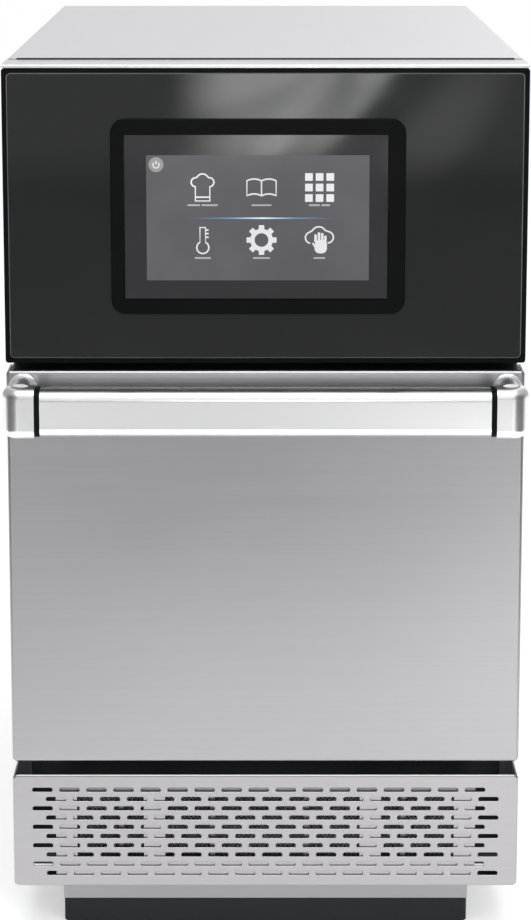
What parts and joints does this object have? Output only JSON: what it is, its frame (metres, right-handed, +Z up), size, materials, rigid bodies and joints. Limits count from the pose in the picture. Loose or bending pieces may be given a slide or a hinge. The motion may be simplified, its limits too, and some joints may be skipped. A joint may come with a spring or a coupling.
{
  "type": "countertop oven",
  "caption": "Tall narrow counter oven: drop-down door with a full-width bar handle, black glass fascia with a touch screen above, slotted vent cover below, plinth feet.",
  "frame": {"origin": "on the counter, under the middle of the oven's bounding box", "axes": "+Z up; the door faces -Y and the back panel +Y; +X is to the right seen from the front"},
  "size_m": [0.356, 0.595, 0.62],
  "materials": {
    "casing_steel": "fine horizontal brushing",
    "cavity_steel": "satin stainless",
    "dark_steel": "satin",
    "black_steel": "satin black",
    "handle_aluminium": "satin anodised",
    "bracket_metal": "soft polished casting",
    "fascia_glass": "black, glossy",
    "screen_glass": "smoked, glossy",
    "bezel_plastic": "matte black",
    "machine_plastic": "matte black",
    "foot_rubber": "matte",
    "seal_rubber": "matte",
    "insulation_fibre": "matte fibre blanket",
    "ceramic_plate": "matte",
    "plunger_plastic": "satin",
    "circuit_board": "satin",
    "module_metal": "satin",
    "machine_metal": "satin",
    "filter_weave": "dark woven wire"
  },
  "bodies": {
    "casing": {"plinth": "casing_steel", "foot_rail_front": "foot_rubber", "foot_rail_rear": "foot_rubber", "base_pan": "machine_metal", "left_side_panel": "casing_steel", "right_side_panel": "casing_steel", "top_cover": "casing_steel", "back_panel": "casing_steel", "cable_gland": "machine_plastic", "rear_spacer": "foot_rubber", "cavity": "cavity_steel", "ceramic_floor": "ceramic_plate", "impinger_plate": "cavity_steel", "fan_guard": "cavity_steel", "cavity_insulation": "insulation_fibre", "fan_plenum": "machine_metal", "fan_motor": "machine_metal", "heater_element": "dark_steel", "waveguide": "module_metal", "magnetron": "machine_metal", "stirrer_motor": "machine_metal", "cooling_fan_housing": "machine_plastic", "electronics_shelf": "machine_metal", "inverter_power_supply": "module_metal", "mains_filter_board": "circuit_board", "oven_controller_board": "circuit_board", "front_frame": "black_steel", "fascia_cap": "casing_steel", "fascia_frame": "black_steel", "fascia_panel": "fascia_glass", "screen_bezel": "bezel_plastic", "touch_glass": "screen_glass", "display_module": "machine_metal", "hinge_bracket_left": "dark_steel", "hinge_bracket_right": "dark_steel", "hinge_spring_left": "dark_steel", "hinge_spring_right": "dark_steel", "interlock_switch_left": "machine_plastic", "interlock_switch_right": "machine_plastic"},
    "door": {"door_skin": "casing_steel", "door_body": "black_steel", "door_insulation": "insulation_fibre", "door_inner_panel": "cavity_steel", "door_seal": "seal_rubber", "handle_tube": "handle_aluminium", "handle_gasket_left": "seal_rubber", "handle_gasket_right": "seal_rubber", "handle_bracket_left": "bracket_metal", "handle_bracket_right": "bracket_metal", "hinge_pin_left": "dark_steel", "hinge_pin_right": "dark_steel"},
    "vent_cover": {"vent_cover": "casing_steel", "filter_frame": "casing_steel", "filter_mesh": "filter_weave"},
    "cook_plate": {"cook_plate": "dark_steel"},
    "convection_fan": {"convection_fan": "machine_metal"},
    "mode_stirrer": {"mode_stirrer": "module_metal"},
    "cooling_fan_rotor": {"cooling_fan_rotor": "machine_plastic"},
    "interlock_plunger_left": {"interlock_plunger_left": "plunger_plastic"},
    "interlock_plunger_right": {"interlock_plunger_right": "plunger_plastic"}
  },
  "joints": [
    {"name": "door_hinge", "type": "hinge", "parent": "casing", "child": "door", "pos_m": [0, -0.2445, 0.137], "axis": [1, 0, 0], "range_deg": [0, 90], "stiffness_Nm_per_rad": 1.9, "springref_deg": -60.16},
    {"name": "vent_cover_slide", "type": "slide", "parent": "casing", "child": "vent_cover", "axis": [0, -1, 0], "range_m": [0, 0.06]},
    {"name": "cook_plate_lift", "type": "slide", "parent": "casing", "child": "cook_plate", "axis": [0, 0, 1], "range_m": [0, 0.025]},
    {"name": "convection_fan_spin", "type": "hinge", "parent": "casing", "child": "convection_fan", "pos_m": [0, 0.13, 0.265], "axis": [0, 1, 0], "continuous": true},
    {"name": "mode_stirrer_spin", "type": "hinge", "parent": "casing", "child": "mode_stirrer", "pos_m": [0, -0.06, 0.15], "axis": [0, 0, 1], "continuous": true},
    {"name": "cooling_fan_spin", "type": "hinge", "parent": "casing", "child": "cooling_fan_rotor", "pos_m": [-0.07, -0.175, 0.0838], "axis": [0, 1, 0], "continuous": true},
    {"name": "interlock_left_slide", "type": "slide", "parent": "casing", "child": "interlock_plunger_left", "axis": [0, -1, 0], "range_m": [0, 0.004]},
    {"name": "interlock_right_slide", "type": "slide", "parent": "casing", "child": "interlock_plunger_right", "axis": [0, -1, 0], "range_m": [0, 0.004]}
  ],
  "couplings": [
    {"joint": "interlock_left_slide", "follows": "door_hinge", "m_per_rad": 0.0025},
    {"joint": "interlock_right_slide", "follows": "door_hinge", "m_per_rad": 0.0025}
  ]
}
